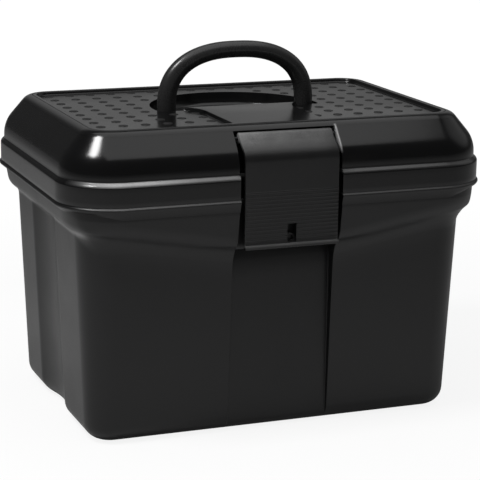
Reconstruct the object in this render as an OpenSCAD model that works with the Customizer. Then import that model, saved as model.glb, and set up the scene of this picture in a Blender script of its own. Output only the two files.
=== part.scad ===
// Moulded carry box for horse grooming kit: tub, hinged lid, fold-down handle, front latch, tray.
// Millimetres, +Z up, +X to the right, front face towards -Y, origin under the middle of the base.

/* [Overall] */
// Length of the lid skirt, left to right
rim_l = 400; // [360:1:440]
// Depth of the lid skirt, front to back
rim_d = 281; // [255:1:310]
// Plan radius of the lid skirt's corners
rim_corner = 50; // [46:1:54]
// Height of the tub up to the parting line
tub_h = 218; // [200:1:236]
// Moulded wall of the tub
tub_wall = 2.5; // [2:0.1:3]
// Moulded wall of the lid
lid_wall = 2.5; // [2:0.1:3]
// Space between the lid's lower edge and the tub's rim
lid_gap = 0.4; // [0.3:0.1:1]

/* [Tub body] */
// How far the base stands in from the skirt at each end
base_side_inset = 24.8; // [23:0.1:27]
// How far the base stands in from the skirt at the front and back
base_front_inset = 24.6; // [22:0.1:27]
// Plan radius of the base corners
base_corner = 24; // [21:1:30]
// Draft angle of the walls
draft = 2.5; // [2:0.1:2.8]
// Thickness of the floor
floor_t = 3; // [2.5:0.5:5]
// Rounding of the bottom edge
foot_round = 16; // [12:0.5:18]
// Width of the stiffening groove under the base
groove_w = 8; // [4:1:14]
// Depth of the stiffening groove
groove_depth = 1.2; // [0.6:0.1:1.5]
// Distance of the groove from the edge of the base
groove_inset = 28; // [22:1:40]

/* [Tub rim and shoulder] */
// Height of the rim bead
bead_h = 5; // [4:0.5:7]
// How far the bead stands out past the skirt
bead_out = 1.5; // [1:0.1:2.5]
// Inset of the upper band at the ends
band_side_inset = 5; // [4:0.5:6]
// Inset of the upper band at the front and back
band_front_inset = 0.8; // [0.6:0.1:1.4]
// Plan radius of the upper band's corners
band_corner = 46; // [42:1:48]
// Parting line down to where the upper band starts to lean in
shoulder_drop = 7.5; // [6.5:0.5:9]
// Lean of the upper band
band_lean = 10; // [8:0.5:12]
// Parting line down to the bend of the shoulder
shoulder_bend = 22.7; // [21:0.1:25]
// Radius of that bend
shoulder_r = 14; // [12:0.5:16]
// Angle of the shoulder from the vertical below its bend
shoulder_angle = 45; // [42:1:48]
// How far in the shoulder's slope would run without the body
shoulder_in = 24; // [22:1:26]
// Plan radius to which the shoulder eases at the box's corners
ease_corner = 76.7; // [74:0.1:79]
// Rise of the lower edges of the front and back bands towards the box's corners
apron_angle = 9.5; // [8:0.5:11]
// Slope of the underside of those bands
under_angle = 34; // [30:1:38]
// Parting line down to where the two lower edges of a band would meet
apron_drop = 50.7; // [48:0.1:54]
// Height of the locating tongue above the parting line
tongue_h = 4.5; // [3:0.5:5]
// Thickness of the locating tongue
tongue_t = 2; // [1.5:0.1:2.5]
// Inset of the tongue from the skirt's outline
tongue_inset = 4.5; // [4.4:0.1:5]

/* [Tub walls] */
// Width of the latch channel down the front
channel_w = 96; // [90:1:104]
// Depth of the latch channel at the base
channel_depth = 2.5; // [2:0.1:4]
// Skirt's face back to the floor of the bay behind the latch
bay_depth = 9.5; // [9.2:0.1:11]
// Latch's lower edge down to the underside of that bay's floor
ledge_drop = 2; // [1.5:0.1:3]
// Width of the hollow flute in each end wall
flute_w = 78; // [60:1:90]
// Depth of the flute
flute_depth = 6; // [4:0.5:7]
// How far the flute's middle lies behind the middle of the wall
flute_back = 7; // [0:1:10]

/* [Lid] */
// Parting line up to the top of the skirt
skirt_h = 21.2; // [18:0.2:24]
// Rounding of the skirt's upper edge
skirt_round = 3.2; // [2.8:0.1:3.3]
// Step from the skirt in to the lid wall
lid_step = 3.3; // [3:0.1:4]
// Skirt up to where the wall turns into the slope
lid_wall_h = 14.4; // [13.4:0.2:18]
// Height of the sloped shoulder of the lid
slope_h = 26; // [24:0.1:28]
// Angle of the slope from the horizontal
slope_angle = 50; // [48:1:53]
// Radius between wall and slope
bend_r = 14; // [12.5:0.5:18]
// Radius between slope and top
crown_r = 11; // [9:0.5:12]
// Width of the flat rim round the top panel
rim_land = 3.8; // [3:0.2:5]
// Depth of the top panel below the rim
panel_depth = 3.2; // [2.4:0.2:4]
// Plan radius of the panel's corners
panel_corner = 16; // [12:1:18]
// Width of the plain pad in front of the handle
pad_w = 86; // [76:1:90]
// Flare radius at the back of the pad
flare_r = 40; // [36:1:46]

/* [Handle and its well] */
// Thickness of the handle's bar
handle_d = 16; // [14:0.5:17]
// Spacing of the handle's legs
handle_span = 136; // [124:1:140]
// Pivot up to the top of the handle
handle_rise = 64.5; // [62:0.5:68]
// Bend radius at the handle's shoulders
handle_bend = 50; // [44:1:52]
// How far the handle's pivot lies in front of the middle
pivot_front = 1; // [0:1:8]
// Diameter of the handle's pivot pins
handle_pin_d = 5; // [4:0.5:6]
// How far each pivot pin reaches into its boss
pin_hold = 12; // [9:0.5:14]
// Space between the handle's legs and the wall of the round well
well_gap = 4.5; // [4:0.5:7]
// Pivot line to the straight front edge of the well
well_front = 14; // [13:1:18]
// Depth of the well below the rim
well_depth = 16; // [15.5:0.5:17]
// Space under the folded handle
handle_clear = 0.7; // [0.5:0.1:1]
// Diameter of the pivot bosses beside the well
pivot_boss_d = 12; // [10:0.5:13]

/* [Latch] */
// Width of the latch plate
latch_w = 88; // [80:1:92]
// Thickness of the latch plate
latch_t = 3; // [2.5:0.1:3.2]
// Parting line down to the latch's lower edge
latch_drop = 44; // [42:0.5:46]
// Radius of the latch's bend
latch_bend = 20; // [16:1:24]
// Radius of the latch's hinge barrel
barrel_r = 4; // [3.5:0.1:4.2]
// Diameter of the latch pin
latch_pin_d = 3; // [2.5:0.1:3.5]
// Space between the barrel and the top of its pocket
barrel_gap = 1.2; // [1:0.1:2]
// Crown edge down the slope to the top of the latch pocket
pocket_drop = 6; // [5:0.5:7]
// Depth of the latch pocket in the lid
pocket_depth = 9; // [8.8:0.1:10]
// How far back the pocket's own wall reaches
pocket_reach = 45; // [40:1:55]
// Height of the finger lip
lip_h = 3.2; // [2.5:0.1:4]
// How far the finger lip stands out
lip_out = 3; // [2:0.2:4]
// Count of the fine grip ribs
rib_n = 14; // [9:1:15]
// Spacing of the grip ribs
rib_pitch = 3.3; // [3:0.1:3.4]
// Height of each grip rib's round crest
rib_out = 0.35; // [0.2:0.05:0.5]
// Width of the lock slot
slot_w = 8.6; // [8:0.2:10]
// Height of the lock slot
slot_h = 18.5; // [16:0.5:20]
// Radius of the lock boss seen through the slot
lock_r = 4.3; // [3.5:0.1:4.6]
// Radius of the hole in the lock boss
lock_hole_r = 2.6; // [2:0.1:2.8]

/* [Catch] */
// Parting line down to the underside of the catch rib
catch_drop = 26.5; // [25:0.5:28]
// Thickness of the catch rib
catch_t = 3; // [2:0.5:4]
// Length of each half of the catch rib
catch_l = 28; // [20:1:32]
// Distance of the catch rib from the middle
catch_from = 9; // [7:0.5:12]
// Space between the catch's edge and the latch plate
catch_clear = 0.6; // [0.5:0.1:0.8]
// How far the hook stands off the latch plate
hook_out = 1.2; // [1:0.1:1.4]
// Height of the hook
hook_h = 2; // [1.5:0.1:2.5]
// Space between the hook and the catch above it
hook_drop = 7; // [6.5:0.5:8]

/* [Hinges] */
// Middle of the box to the middle of each hinge
hinge_x = 105; // [80:1:130]
// Skirt's back face to the hinge axis
hinge_out = 5; // [4.9:0.1:6]
// Parting line up to the hinge axis
hinge_up = 5; // [4.9:0.1:6]
// Radius of the knuckles
knuckle_r = 4.5; // [4:0.1:4.6]
// Width of the tub's knuckle
tub_knuckle_w = 22; // [16:1:30]
// Width of each of the lid's knuckles
lid_knuckle_w = 12; // [8:1:16]
// Diameter of the hinge pins
hinge_pin_d = 4; // [3:0.5:5]
// Side play between knuckles
knuckle_gap = 0.4; // [0.3:0.1:0.6]
// Radial play of a pin in the piece that turns on it
pin_play = 0.05; // [0.02:0.01:0.08]

/* [Tray] */
// Parting line down to the tray's seat
tray_drop = 19; // [17:0.5:21]
// Depth of the tray below its flange
tray_h = 54; // [40:1:60]
// Wall of the tray
tray_wall = 2; // [1.6:0.1:2.4]
// Space between the tray's flange and the tub's ends
tray_end_gap = 3; // [2.5:0.5:5]
// Inset of the tray's flange from the skirt at the front and back
tray_front_inset = 27; // [25:0.5:30]
// Width of the flange at the tray's ends
tray_end_flange = 20; // [18:1:22]
// Width of the flange along the tray's sides
tray_side_flange = 6; // [4:0.5:8]
// Plan radius of the tray's flange
tray_corner = 25; // [20:1:30]
// Draft angle of the tray
tray_draft = 3; // [2:0.5:4]
// Rounding of the tray's bottom edge
tray_round = 5; // [4:0.5:7]
// Distance of the long divider behind the middle
divider_back = 10; // [0:1:20]
// Middle to each cross wall in front of the long divider
cross_wall_x = 58; // [45:1:75]
// Length of the raised grip on the long divider
grip_l = 140; // [120:1:160]
// Height of the grip above the tray's flange
grip_h = 34; // [30:1:36]
// Length of the grip's finger hole
finger_l = 84; // [70:1:95]
// Height of the grip's finger hole
finger_h = 20; // [18:1:22]
// Thickness of each rest rib in the tub
rest_t = 3; // [2:0.5:5]
// Middle to the outer rest ribs
rest_y = 78; // [60:1:85]

/* [Hidden] */
$fa = 4;
$fs = 0.8;
// Overrun of every cut past the surface that it opens
over = 1;
// Overlap of a rounding with the straight edges that run into it
join = 0.002;
// A length beyond every outline
far = rim_l + rim_d;
half_l = rim_l / 2;
half_d = rim_d / 2;
base_half_l = half_l - base_side_inset;
base_half_d = half_d - base_front_inset;
lean = tan(draft);
flute_r = (flute_w * flute_w / 4 + flute_depth * flute_depth) / (2 * flute_depth);
ease_out = shoulder_in + over;
apron_z = tub_h - apron_drop;
band_low = apron_z - base_front_inset * tan(under_angle);
bay_half = channel_w / 2;
tongue_end = bay_half + lid_wall + over;
lid_low = tub_h + lid_gap;
skirt_top = tub_h + skirt_h;
slope_low = skirt_top + lid_wall_h;
top_z = slope_low + slope_h;
ceiling_z = top_z - panel_depth - lid_wall;
slope_run = slope_h / tan(slope_angle);
well_r = (handle_span + handle_d) / 2 + well_gap;
pin_inner = handle_span / 2 - handle_d / 8;
handle_pin_l = well_r + pin_hold - pin_inner;
rim_inset = lid_step + slope_run + crown_r * tan(slope_angle / 2);
pivot_z = top_z - well_depth + handle_clear + handle_d / 2;
hinge_y = half_d + hinge_out;
hinge_z = tub_h + hinge_up;
hinge_pin_l = tub_knuckle_w + 2 * (lid_knuckle_w + knuckle_gap);
tray_z = tub_h - tray_drop;
tray_half_l = half_l - band_side_inset - tub_wall - tray_end_gap;
tray_half_d = half_d - tray_front_inset;
latch_low = tub_h - latch_drop;
latch_back = half_d - latch_t;
ledge_z = latch_low - ledge_drop;
bay_floor = -half_d + bay_depth;
catch_low = tub_h - catch_drop;
// Outward normal and downward run of the lid's slope, as inset and height
slope_out = [sin(slope_angle), cos(slope_angle)];
slope_down = [cos(slope_angle), -sin(slope_angle)];
// Sharp crown edge, top of the latch pocket and the latch's axis on the front profile
crown_edge = [-lid_step - slope_run, top_z];
pocket_top = crown_edge + slope_down * pocket_drop;
latch_axis = pocket_top + slope_down * (barrel_r + barrel_gap) - slope_out * barrel_r;

// Corner between a wall and the lid's slope, with both faces moved inwards by t
function wall_corner(step, z, t) = [-step - t, z - t * (1 - slope_out.x) / slope_out.y];
// Corner between the slope and the top, with both faces moved inwards by t
function crown_corner(t) = let (run = (slope_h - t * (1 - slope_out.y)) / slope_out.x)
  [-lid_step - t * slope_out.x - run * slope_out.y, top_z - t];

// A plan outline with an edge profile swept round it: x = 0 on the outline, inside is negative
module swept(length, depth, corner) {
  rotate([90, 0, 90])
    linear_extrude(2 * (length - corner), center = true)
      for (side = [0, 1]) mirror([side, 0]) translate([depth, 0]) children();
  rotate([90, 0, 0])
    linear_extrude(2 * (depth - corner), center = true)
      for (side = [0, 1]) mirror([side, 0]) translate([length, 0]) children();
  for (sx = [0, 1], sy = [0, 1])
    mirror([sx, 0, 0]) mirror([0, sy, 0])
      translate([length - corner, depth - corner, 0])
        rotate_extrude(angle = 90)
          intersection() {
            translate([corner, 0]) children();
            square([far, far]);
          }
}

// A rounded rectangle in plan
module plan(length, depth, corner) {
  square([2 * length, 2 * (depth - corner)], center = true);
  square([2 * (length - corner), 2 * depth], center = true);
  for (sx = [-1, 1], sy = [-1, 1])
    translate([sx * (length - corner), sy * (depth - corner)]) circle(corner);
}

// A front profile, drawn as inset and height, run across a width
module across_front(width) {
  rotate([90, 0, 90])
    linear_extrude(width, center = true)
      mirror([1, 0]) translate([half_d, 0]) children();
}

// A profile drawn in Y and Z, run along X
module along_x(width) {
  rotate([90, 0, 90]) linear_extrude(width, center = true) children();
}

// A round bar along X
module bar_x(length, radius) {
  rotate([0, 90, 0]) cylinder(h = length, r = radius, center = true);
}

// Drafted wall with a rounded foot, moved inwards by inset and starting at low
module drafted_edge(inset, low, round, high, slope) {
  turn = (low + round) * tan(slope) - (inset + round) / cos(slope);
  polygon([
    [-half_d - over, low],
    [turn, low],
    [turn + round * cos(slope), low + round - round * sin(slope)],
    [high * tan(slope) - inset / cos(slope), high],
    [-half_d - over, high]
  ]);
  translate([turn, low + round]) circle(round + join);
}

// Edge profile of the leaning band and its shoulder, moved inwards by inset
module shoulder_edge(inset, high) {
  lean_out = [cos(band_lean), -sin(band_lean)];
  slope_n = [cos(shoulder_angle), -sin(shoulder_angle)];
  knee = [-(shoulder_bend - shoulder_drop) * tan(band_lean), tub_h - shoulder_bend];
  middle = knee - (lean_out + slope_n) * shoulder_r / (1 + cos(shoulder_angle - band_lean));
  start = middle + lean_out * (shoulder_r - inset);
  end = middle + slope_n * (shoulder_r - inset);
  polygon([
    [-half_d - over, band_low - over],
    [-shoulder_in, band_low - over],
    [-shoulder_in, end.y - (end.x + shoulder_in) / tan(shoulder_angle)],
    end,
    start,
    [start.x + (high - start.y) * tan(band_lean), high],
    [-half_d - over, high]
  ]);
  translate(middle) circle(shoulder_r - inset + join);
}

// Half of space above one sloping underside of the bands, rising to the right and to the back
module above_underside(inset) {
  rise = tan(apron_angle);
  fall = tan(under_angle);
  low = apron_z - (half_d - band_front_inset) * fall + inset * sqrt(1 + rise * rise + fall * fall);
  translate([0, 0, low])
    rotate([under_angle, 0, 0])
      rotate([0, -atan(rise * cos(under_angle)), 0])
        translate([-far, -far, 0]) cube([2 * far, 2 * far, far]);
}

// Upper band: plan outline, sloping undersides of front and back, and the shoulder round the ends
module upper_band(inset, high) {
  depth = half_d - band_front_inset;
  intersection() {
    translate([0, 0, band_low])
      linear_extrude(high - band_low)
        plan(half_l - band_side_inset - inset, depth - inset, band_corner - inset);
    above_underside(inset);
    mirror([1, 0, 0]) above_underside(inset);
    mirror([0, 1, 0]) above_underside(inset);
    mirror([1, 0, 0]) mirror([0, 1, 0]) above_underside(inset);
    swept(half_l - band_side_inset, depth + ease_out, ease_corner) shoulder_edge(inset, high + over);
  }
}

// Hollow flutes in the end walls, grown by a wall for the side that faces inwards
module flutes(grow) {
  for (side = [0, 1]) mirror([side, 0, 0])
    translate([base_half_l + (flute_r - flute_depth) / cos(draft), flute_back, 0])
      rotate([0, draft, 0])
        cylinder(h = 2 * tub_h, r = flute_r + grow, center = true, $fn = 160);
}

// Latch channel and the shallower bay above it, grown by a wall for the inside
module channel(grow) {
  floor_y = -base_half_d + channel_depth + grow;
  along_x(channel_w + 2 * grow)
    polygon([
      [-far, -over],
      [floor_y, -over],
      [floor_y, ledge_z + grow],
      [bay_floor + grow, ledge_z + grow],
      [bay_floor + grow, tub_h + far],
      [-far, tub_h + far]
    ]);
}

// Ribs in the ends that carry the tray's flange
module tray_rests() {
  inner = half_l - base_side_inset + tray_z * lean - tub_wall - rest_t;
  for (side = [0, 1], y = [-rest_y, 0, rest_y]) mirror([side, 0, 0])
    translate([0, y, 0])
      rotate([90, 0, 0])
        linear_extrude(rest_t, center = true)
          polygon([
            [inner, tray_z],
            [half_l, tray_z],
            [half_l, tray_z - shoulder_r],
            [inner + rest_t, tray_z - shoulder_r]
          ]);
}

// Space inside the tub
module tub_space() {
  rim_open = tongue_inset + tongue_t;
  difference() {
    union() {
      difference() {
        swept(base_half_l, base_half_d, base_corner)
          drafted_edge(tub_wall, floor_t, foot_round - tub_wall, tub_h - bead_h, draft);
        flutes(tub_wall);
      }
      upper_band(tub_wall, tub_h - bead_h + over);
      translate([0, 0, tub_h - bead_h])
        linear_extrude(bead_h + tongue_h + over)
          plan(half_l - rim_open, half_d - rim_open, rim_corner - rim_open);
    }
    channel(tub_wall);
    tray_rests();
  }
}

// Rim bead and the tongue that locates the lid
module tub_rim() {
  swept(half_l, half_d, rim_corner) {
    translate([bead_out - bead_h / 2, tub_h - bead_h / 2]) circle(bead_h / 2);
    translate([-half_d - over, tub_h - bead_h]) square([half_d + over + bead_out - bead_h / 2, bead_h]);
  }
  difference() {
    translate([0, 0, tub_h - bead_h])
      linear_extrude(bead_h + tongue_h)
        plan(half_l - tongue_inset, half_d - tongue_inset, rim_corner - tongue_inset);
    translate([-tongue_end, -far, tub_h]) cube([2 * tongue_end, far, far]);
  }
}

// The tub's half of each hinge, standing on the back of the bead
module tub_knuckle() {
  root = half_d - tub_wall;
  difference() {
    along_x(tub_knuckle_w) {
      translate([hinge_y, hinge_z]) circle(knuckle_r);
      polygon([
        [hinge_y - knuckle_r, hinge_z],
        [hinge_y + knuckle_r, hinge_z],
        [hinge_y + knuckle_r, tub_h - bead_h / 2],
        [root, tub_h - bead_h - 2 * knuckle_r],
        [root, tub_h],
        [hinge_y - knuckle_r, tub_h]
      ]);
    }
    translate([0, hinge_y, hinge_z]) bar_x(tub_knuckle_w + 2 * over, hinge_pin_d / 2 + pin_play);
  }
}

// Catch rib and lock boss on the floor of the bay behind the latch
module catch_and_boss() {
  tip = -latch_back + catch_clear;
  root = bay_floor + tub_wall / 2;
  for (side = [0, 1]) mirror([side, 0, 0])
    translate([catch_from, tip, catch_low]) cube([catch_l, root - tip, catch_t]);
  difference() {
    translate([0, root, latch_low + lip_h + lock_r])
      rotate([90, 0, 0]) cylinder(h = root - tip, r = lock_r);
    translate([0, tip + lock_hole_r, latch_low + lip_h + lock_r])
      rotate([90, 0, 0]) cylinder(h = 2 * lock_hole_r, r = lock_hole_r);
  }
}

// Tub moulding
module tub() {
  color("#1d1d1f") {
    difference() {
      union() {
        difference() {
          swept(base_half_l, base_half_d, base_corner)
            drafted_edge(0, 0, foot_round, tub_h - bead_h, draft);
          flutes(0);
        }
        upper_band(0, tub_h);
        tub_rim();
      }
      channel(0);
      tub_space();
      translate([0, 0, -over])
        linear_extrude(groove_depth + over)
          difference() {
            plan(base_half_l - groove_inset, base_half_d - groove_inset, base_corner / 2);
            plan(base_half_l - groove_inset - groove_w, base_half_d - groove_inset - groove_w,
              base_corner / 2 - groove_w);
          }
    }
    for (side = [-1, 1]) translate([side * hinge_x, 0, 0]) tub_knuckle();
    catch_and_boss();
  }
}

// Edge profile of the lid: skirt, step, wall, slope and top, moved inwards by t
module lid_edge(t) {
  edge_turn = max(skirt_round - t, 0);
  crown_turn = max(crown_r - t, 0);
  edge = [-t - edge_turn, skirt_top - t - edge_turn];
  bend = wall_corner(lid_step, slope_low, bend_r);
  crown = crown_corner(t + crown_turn);
  polygon(concat(
    [[-half_d - over, lid_low - t], [-t, lid_low - t]],
    edge_turn > 0 ? [[-t, edge.y], [edge.x, skirt_top - t]] : [edge],
    [[-lid_step - t, skirt_top - t], [-lid_step - t, bend.y], bend + slope_out * (bend_r - t)],
    crown_turn > 0 ? [crown + slope_out * crown_turn, [crown.x, top_z - t]] : [crown],
    [[-half_d - over, top_z - t]]
  ));
  translate(bend) circle(bend_r - t + join);
  if (crown_turn > 0) translate(crown) circle(crown_turn + join);
  if (edge_turn > 0) translate(edge) circle(edge_turn + join);
}

// Round well behind the handle, grown by a wall for the inside
module handle_well(grow) {
  translate([0, -pivot_front, top_z - well_depth - grow])
    linear_extrude(well_depth + grow + over)
      intersection() {
        circle(well_r + grow, $fn = 120);
        translate([-far, -well_front - grow]) square([2 * far, far]);
      }
}

// Plain pad between the front rim and the handle well
module pad_outline() {
  back = -pivot_front - well_front;
  flare_y = -pivot_front - flare_r;
  edge = pad_w / 2;
  translate([-edge, -far]) square([pad_w, far + back]);
  difference() {
    translate([-edge - flare_r, flare_y]) square([pad_w + 2 * flare_r, back - flare_y]);
    for (side = [-1, 1]) translate([side * (edge + flare_r), flare_y]) circle(flare_r);
  }
}

// Recess of the top panel round the pad
module panel_recess() {
  inset = rim_inset + rim_land;
  translate([0, 0, top_z - panel_depth])
    linear_extrude(panel_depth + over)
      difference() {
        plan(half_l - inset, half_d - inset, panel_corner);
        pad_outline();
      }
}

// Part of the lid behind the latch, where the wall steps back
module pocket_zone(grow) {
  width = channel_w + 2 * grow;
  translate([-width / 2, -far, 0]) cube([width, far - half_d + pocket_reach, far]);
}

// Latch pocket cut through the front of the lid
module latch_pocket() {
  outer = pocket_top + slope_out * far;
  inner = pocket_top - slope_out * (pocket_depth + over);
  across_front(channel_w)
    difference() {
      polygon([outer, inner, [inner.x, lid_low - over], [far, lid_low - over], [far, outer.y]]);
      lid_edge(pocket_depth);
    }
}

// Bars beside the well for the handle's pivot, from just inside its wall to a length beyond it
module pivot_bars(radius, length) {
  for (side = [-1, 1])
    translate([side * (well_r + (length - over) / 2), -pivot_front, pivot_z]) bar_x(length + over, radius);
}

// Space inside the lid
module lid_space() {
  difference() {
    intersection() {
      union() {
        difference() {
          swept(half_l, half_d, rim_corner) lid_edge(lid_wall);
          pocket_zone(lid_wall);
        }
        intersection() {
          across_front(channel_w + 2 * lid_wall) lid_edge(pocket_depth + lid_wall);
          pocket_zone(lid_wall);
        }
      }
      translate([-far, -far, 0]) cube([2 * far, 2 * far, ceiling_z]);
    }
    handle_well(lid_wall);
    pivot_bars(pivot_boss_d / 2, pin_hold + lid_wall);
  }
}

// The lid's half of each hinge, on the back of the skirt
module lid_knuckles() {
  place = (tub_knuckle_w + lid_knuckle_w) / 2 + knuckle_gap;
  root = half_d - lid_wall / 2;
  for (side = [-1, 1], x = [-place, place])
    translate([side * hinge_x + x, 0, 0])
      along_x(lid_knuckle_w) {
        translate([hinge_y, hinge_z]) circle(knuckle_r);
        polygon([
          [hinge_y, hinge_z - knuckle_r],
          [hinge_y, hinge_z + knuckle_r],
          [root, hinge_z + 2 * knuckle_r],
          [root, hinge_z - knuckle_r]
        ]);
      }
}

// Lid moulding
module lid() {
  color("#161617")
    difference() {
      union() {
        difference() {
          swept(half_l, half_d, rim_corner) lid_edge(0);
          lid_space();
        }
        lid_knuckles();
      }
      panel_recess();
      handle_well(0);
      latch_pocket();
      pivot_bars(handle_pin_d / 2, pin_hold);
      translate([0, -half_d - latch_axis.x, latch_axis.y])
        bar_x(channel_w + 2 * (lid_wall + over), latch_pin_d / 2);
      for (side = [-1, 1])
        translate([side * hinge_x, hinge_y, hinge_z]) bar_x(hinge_pin_l + 2 * over, hinge_pin_d / 2);
    }
}

// Arched handle with round feet that turn on the pivot pins
module carry_handle() {
  radius = handle_d / 2;
  leg = handle_span / 2;
  bend_z = handle_rise - radius - handle_bend;
  color("#141415")
    difference() {
      translate([0, -pivot_front, pivot_z]) {
        for (side = [0, 1]) mirror([side, 0, 0]) {
          translate([leg, 0, 0])
            rotate_extrude()
              intersection() {
                union() {
                  circle(radius);
                  translate([-radius, 0]) square([handle_d, bend_z]);
                }
                translate([0, -radius]) square([radius, radius + bend_z]);
              }
          translate([leg - handle_bend, 0, bend_z])
            rotate([90, 0, 0])
              rotate_extrude(angle = 90) translate([handle_bend, 0]) circle(radius);
        }
        translate([0, 0, bend_z + handle_bend]) bar_x(2 * (leg - handle_bend), radius);
      }
      for (side = [-1, 1])
        translate([side * (leg + radius), -pivot_front, pivot_z])
          bar_x(handle_d + radius, handle_pin_d / 2 + pin_play);
    }
}

// Pivot pin of the handle, pressed into its boss
module handle_pin(side) {
  color("silver")
    translate([side * (pin_inner + handle_pin_l / 2), -pivot_front, pivot_z])
      bar_x(handle_pin_l, handle_pin_d / 2);
}

module handle_pin_left() {
  handle_pin(-1);
}

module handle_pin_right() {
  handle_pin(1);
}

// Profile behind the latch's face, moved inwards by t
module latch_face(t) {
  low = slope_low - lid_step * tan(slope_angle);
  bend = wall_corner(0, low, latch_bend);
  high = crown_edge - slope_out * t;
  polygon([
    [-half_d, latch_low - t],
    [-t, latch_low - t],
    [-t, bend.y],
    bend + slope_out * (latch_bend - t),
    high,
    [-half_d, high.y]
  ]);
  translate(bend) circle(latch_bend - t + join);
}

// Latch plate: hinge barrel, bent plate, finger lip, grip ribs, hook and lock slot
module front_latch() {
  axis_y = -half_d - latch_axis.x;
  hook_z = catch_low - hook_drop - hook_h;
  color("#19191a")
    difference() {
      union() {
        across_front(latch_w) {
          intersection() {
            difference() {
              latch_face(0);
              latch_face(latch_t);
              translate([-far, latch_low - far]) square([2 * far, far]);
            }
            polygon([
              latch_axis + slope_out * far,
              latch_axis - slope_out * far,
              latch_axis - slope_out * far + slope_down * far,
              latch_axis + slope_out * far + slope_down * far
            ]);
          }
          translate(latch_axis) circle(barrel_r + join);
          translate([-latch_t, latch_low]) square([latch_t + lip_out, lip_h]);
          for (i = [1 : rib_n])
            translate([-rib_pitch / 4 + rib_out, latch_low + lip_h + i * rib_pitch]) circle(rib_pitch / 4);
        }
        for (side = [0, 1]) mirror([side, 0, 0])
          translate([catch_from, -latch_back, hook_z]) {
            translate([0, -latch_t / 2, 0]) cube([catch_l, latch_t / 2 + hook_out, hook_h]);
          }
      }
      translate([0, axis_y, latch_axis.y]) bar_x(latch_w + 2 * over, latch_pin_d / 2 + pin_play);
      translate([-slot_w / 2, -half_d - over, latch_low + lip_h]) cube([slot_w, latch_t + 2 * over, slot_h]);
    }
}

// Pin of the latch, held by the pocket's side walls
module latch_pin() {
  color("silver")
    translate([0, -half_d - latch_axis.x, latch_axis.y])
      bar_x(channel_w + 2 * lid_wall, latch_pin_d / 2);
}

// Pin of one hinge
module hinge_pin(side) {
  color("silver")
    translate([side * hinge_x, hinge_y, hinge_z]) bar_x(hinge_pin_l, hinge_pin_d / 2);
}

module hinge_pin_left() {
  hinge_pin(-1);
}

module hinge_pin_right() {
  hinge_pin(1);
}

// Outline of the tray's well, moved inwards by inset, from low up to high
module tray_form(inset, low, high) {
  translate([0, 0, tray_z - tray_h])
    swept(tray_half_l - tray_end_flange - tray_h * tan(tray_draft),
        tray_half_d - tray_side_flange - tray_h * tan(tray_draft), tray_corner - tray_side_flange)
      drafted_edge(inset, low, tray_round - inset, high, tray_draft);
}

// Raised grip on the long divider, with a finger hole
module tray_grip() {
  end = finger_h / 2;
  top = tray_z + grip_h;
  hole_z = top - handle_d / 2 - end;
  translate([0, divider_back, 0])
    rotate([90, 0, 0])
      linear_extrude(2 * tray_wall, center = true)
        difference() {
          union() {
            translate([-grip_l / 2, tray_z - end]) square([grip_l, grip_h]);
            translate([-grip_l / 2 + end, tray_z]) square([grip_l - 2 * end, grip_h]);
            for (side = [-1, 1]) translate([side * (grip_l / 2 - end), top - end]) circle(end);
          }
          translate([-finger_l / 2 + end, hole_z - end]) square([finger_l - 2 * end, finger_h]);
          for (side = [-1, 1]) translate([side * (finger_l / 2 - end), hole_z]) circle(end);
        }
}

// Plan areas of the tray's compartments: one behind the divider and three in front
module tray_compartments() {
  front = divider_back - tray_wall;
  near = cross_wall_x - tray_wall / 2;
  away = cross_wall_x + tray_wall / 2;
  translate([-tray_half_l, divider_back + tray_wall]) square([2 * tray_half_l, tray_half_d]);
  translate([-near, front - rim_d]) square([2 * near, rim_d]);
  for (side = [0, 1]) mirror([side, 0]) translate([away, front - rim_d]) square([tray_half_l, rim_d]);
}

// Lift-out tray that hangs by its end flanges on the tub's rest ribs
module lift_out_tray() {
  color("#2a2a2c")
    difference() {
      union() {
        tray_form(0, 0, tray_h);
        translate([0, 0, tray_z]) linear_extrude(tray_wall) plan(tray_half_l, tray_half_d, tray_corner);
        tray_grip();
      }
      intersection() {
        tray_form(tray_wall, tray_wall, tray_h + tray_wall + over);
        translate([0, 0, tray_z - tray_h]) linear_extrude(2 * tray_h) tray_compartments();
      }
    }
}

tub();
lid();
carry_handle();
handle_pin_left();
handle_pin_right();
front_latch();
latch_pin();
hinge_pin_left();
hinge_pin_right();
lift_out_tray();
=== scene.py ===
import bpy
import bmesh
import math
import numpy as np
from mathutils import Matrix, Vector
from mathutils.geometry import delaunay_2d_cdt


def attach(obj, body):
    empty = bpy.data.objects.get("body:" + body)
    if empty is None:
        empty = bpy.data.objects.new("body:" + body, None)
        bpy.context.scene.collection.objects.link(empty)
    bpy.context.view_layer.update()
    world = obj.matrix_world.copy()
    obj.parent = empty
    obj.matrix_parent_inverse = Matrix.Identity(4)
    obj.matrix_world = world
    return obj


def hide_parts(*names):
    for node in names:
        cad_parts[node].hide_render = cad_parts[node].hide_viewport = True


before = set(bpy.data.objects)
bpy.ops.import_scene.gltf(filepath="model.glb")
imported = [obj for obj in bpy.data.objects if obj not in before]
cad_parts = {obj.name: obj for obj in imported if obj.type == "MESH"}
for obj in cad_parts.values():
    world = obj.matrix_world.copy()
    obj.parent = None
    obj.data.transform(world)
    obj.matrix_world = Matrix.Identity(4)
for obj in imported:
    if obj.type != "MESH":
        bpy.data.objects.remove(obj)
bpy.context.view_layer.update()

mm = 0.001  # the shapes below are written in millimetres

# sizes that several mouldings share
boxSizes = {
    "halfL": 200.0, "halfD": 140.5, "corner": 50.0,  # skirt outline
    "parting": 218.0, "lidLow": 218.4,
    "bayHalf": 48.0, "wall": 2.5, "bayFloor": -131.0,
    "pivotY": -1.0, "pivotZ": 272.3, "topZ": 279.6,
    "hingeX": 105.0, "hingeY": 145.5, "hingeZ": 223.0, "knuckleR": 4.5,
}


# shader wires

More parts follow.
